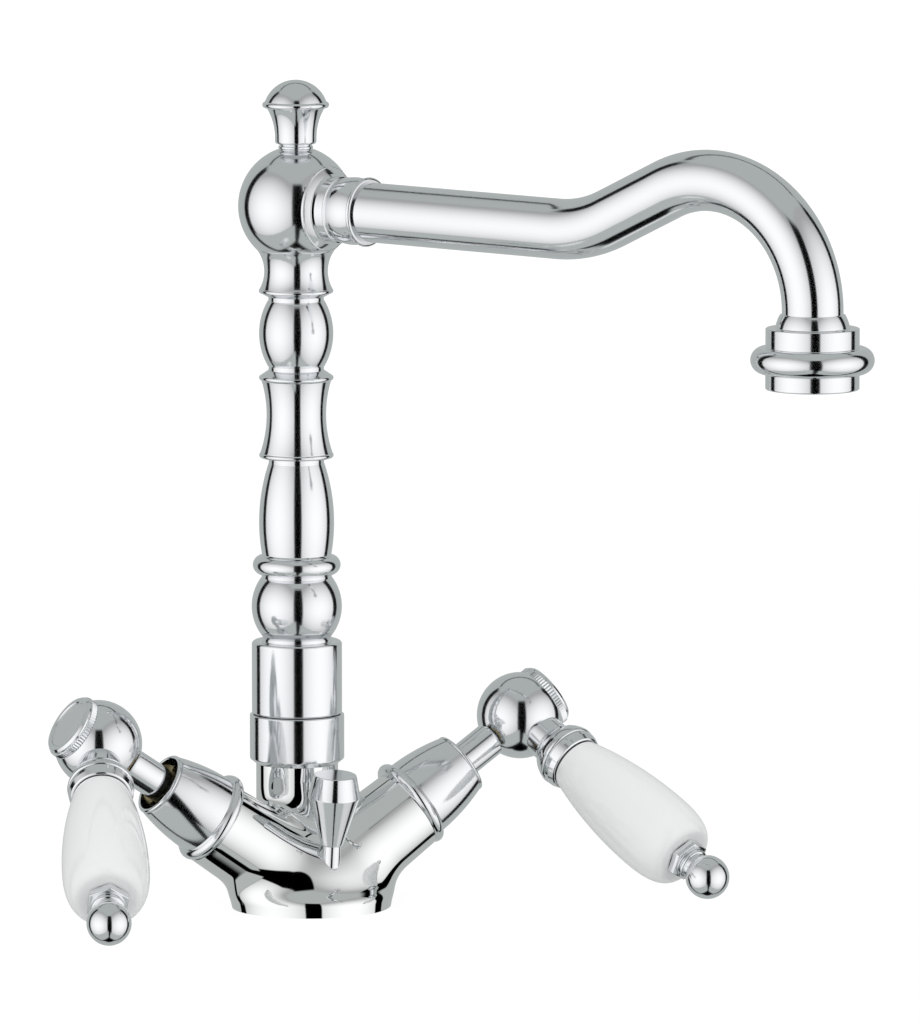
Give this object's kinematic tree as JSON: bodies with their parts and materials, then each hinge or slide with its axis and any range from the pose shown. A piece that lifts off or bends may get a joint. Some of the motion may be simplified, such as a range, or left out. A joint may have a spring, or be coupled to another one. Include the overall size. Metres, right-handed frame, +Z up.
{
  "type": "basin mixer tap",
  "caption": "Deck-mounted basin mixer tap with a turned column, swivelling swan neck spout, raked lever valves with ceramic grips and a pop-up waste knob.",
  "frame": {"origin": "the middle of the base's underside, where it rests on the deck, midway between the two valve arms", "axes": "+Z up from the deck, the user stands at -Y, +X to the user's right; the column's axis is 11.3 mm behind the origin, at +Y"},
  "size_m": [0.2252, 0.2143, 0.2654],
  "materials": {
    "chrome": "polished chrome plate on brass",
    "brass": "machined, bare",
    "porcelain": "white glazed porcelain, opaque",
    "disc_ceramic": "lapped, opaque",
    "rubber": "black, matte",
    "nylon": "plain white",
    "steel": "plain",
    "index_metal": "satin, bare"
  },
  "bodies": {
    "tap_body": {"body": "chrome", "base_seal": "rubber", "collar_nut": "chrome", "slip_washer": "nylon", "popup_guide": "chrome", "left_headwork": "brass", "left_seat_seal": "rubber", "left_fixed_disc": "disc_ceramic", "left_cover": "chrome", "right_headwork": "brass", "right_seat_seal": "rubber", "right_fixed_disc": "disc_ceramic", "right_cover": "chrome"},
    "spout": {"spigot": "brass", "spigot_seals": "rubber", "column": "chrome", "head_seal": "rubber", "head_ball": "chrome", "finial": "chrome", "spout_root_ring": "chrome", "spout_tube": "chrome", "nozzle": "chrome", "aerator_washer": "rubber", "aerator_screen": "nylon", "aerator_shell": "chrome"},
    "popup": {"popup_rod": "chrome", "popup_knob": "chrome"},
    "left_lever": {"left_moving_disc": "disc_ceramic", "left_spindle": "brass", "left_spindle_seal": "rubber", "left_stem": "chrome", "left_ball": "chrome", "left_ball_screw": "steel", "left_index_ring": "chrome", "left_index_disc": "index_metal", "left_lever_bell": "chrome", "left_inner_washer": "rubber", "left_grip": "porcelain", "left_outer_washer": "rubber", "left_tie_rod": "steel", "left_end_nut": "chrome"},
    "right_lever": {"right_moving_disc": "disc_ceramic", "right_spindle": "brass", "right_spindle_seal": "rubber", "right_stem": "chrome", "right_ball": "chrome", "right_ball_screw": "steel", "right_index_ring": "chrome", "right_index_disc": "index_metal", "right_lever_bell": "chrome", "right_inner_washer": "rubber", "right_grip": "porcelain", "right_outer_washer": "rubber", "right_tie_rod": "steel", "right_end_nut": "chrome"}
  },
  "joints": [
    {"name": "spout_swivel", "type": "hinge", "parent": "tap_body", "child": "spout", "pos_m": [0, 0.0113, 0.0613], "axis": [0, 0, 1], "continuous": true},
    {"name": "right_valve_turn", "type": "hinge", "parent": "tap_body", "child": "right_lever", "pos_m": [0, 0, 0.0074], "axis": [-0.829, 0, -0.5592], "range_deg": [0, 90]},
    {"name": "left_valve_turn", "type": "hinge", "parent": "tap_body", "child": "left_lever", "pos_m": [0, 0, 0.0074], "axis": [-0.829, 0, 0.5592], "range_deg": [0, 90]},
    {"name": "popup_lift", "type": "slide", "parent": "tap_body", "child": "popup", "axis": [0, -0.1097, 0.994], "range_m": [0, 0.015]}
  ]
}
